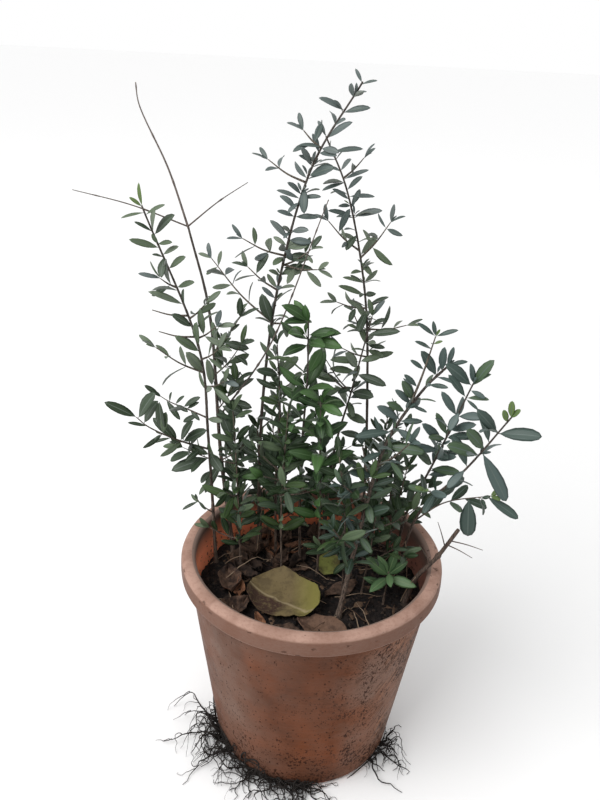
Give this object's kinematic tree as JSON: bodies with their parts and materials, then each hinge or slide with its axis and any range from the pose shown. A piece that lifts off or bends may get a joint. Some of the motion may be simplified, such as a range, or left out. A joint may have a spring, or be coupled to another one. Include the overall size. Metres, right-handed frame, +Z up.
{
  "type": "potted olive seedling",
  "caption": "Clump of slender leafy olive shoots with a bare leader, a dead twig and a cut stub, growing in soil in a round tapered plastic pot with a rolled rim.",
  "frame": {"origin": "centre of the pot's flat underside, at the level of the surface it stands on", "axes": "+Z up along the pot's axis, -Y towards the pictured front, +X to the right of that view"},
  "size_m": [0.4335, 0.2944, 0.724],
  "materials": {
    "pot": "matte",
    "soil": "matte",
    "bark": "matte",
    "deadwood": "matte",
    "bare_twigs": "matte",
    "foliage_grey": "satin",
    "foliage_vivid": "satin",
    "foliage_blue": "satin",
    "foliage_young": "satin",
    "litter_yellow": "matte",
    "litter_brown": "matte",
    "roots": "matte"
  },
  "bodies": {
    "root": {"pot": "pot", "soil": "soil", "stem_leader": "bark", "stem_left": "bark", "stem_tall_left": "bark", "stem_tall_right": "bark", "stem_second_right": "bark", "stem_centre_front": "bark", "stem_centre_left": "bark", "stem_centre_low": "bark", "stem_right": "bark", "stem_right_outer": "bark", "stem_right_low": "bark", "stem_stub": "deadwood", "twig_dead": "deadwood", "mass_leader_crown": "bare_twigs", "mass_left": "foliage_grey", "mass_tall_left": "foliage_grey", "mass_tall_right": "foliage_grey", "mass_second_right": "foliage_grey", "mass_centre_front": "foliage_vivid", "mass_centre_left": "foliage_grey", "mass_centre_low": "foliage_vivid", "mass_right": "foliage_blue", "mass_right_outer": "foliage_blue", "mass_right_low": "foliage_blue", "mass_right_lowest": "foliage_blue", "mass_low_left": "foliage_grey", "mass_low_left_back": "foliage_grey", "mass_sprig_1": "foliage_grey", "mass_sprig_2": "foliage_grey", "mass_sprig_3": "foliage_grey", "mass_sprig_4": "foliage_grey", "mass_sprig_5": "foliage_grey", "mass_low_1": "foliage_grey", "mass_low_2": "foliage_grey", "mass_low_3": "foliage_grey", "mass_low_4": "foliage_grey", "mass_low_5": "foliage_grey", "mass_low_6": "foliage_grey", "mass_low_7": "foliage_grey", "mass_back_1": "foliage_grey", "mass_back_2": "foliage_grey", "mass_back_3": "foliage_grey", "mass_sprout": "foliage_young", "litter_yellow_large": "litter_yellow", "litter_yellow_small": "litter_yellow", "litter_brown_1": "litter_brown", "litter_brown_2": "litter_brown", "litter_brown_3": "litter_brown", "litter_bark": "deadwood", "roots_left": "roots", "roots_front": "roots", "roots_right": "roots"}
  },
  "joints": []
}
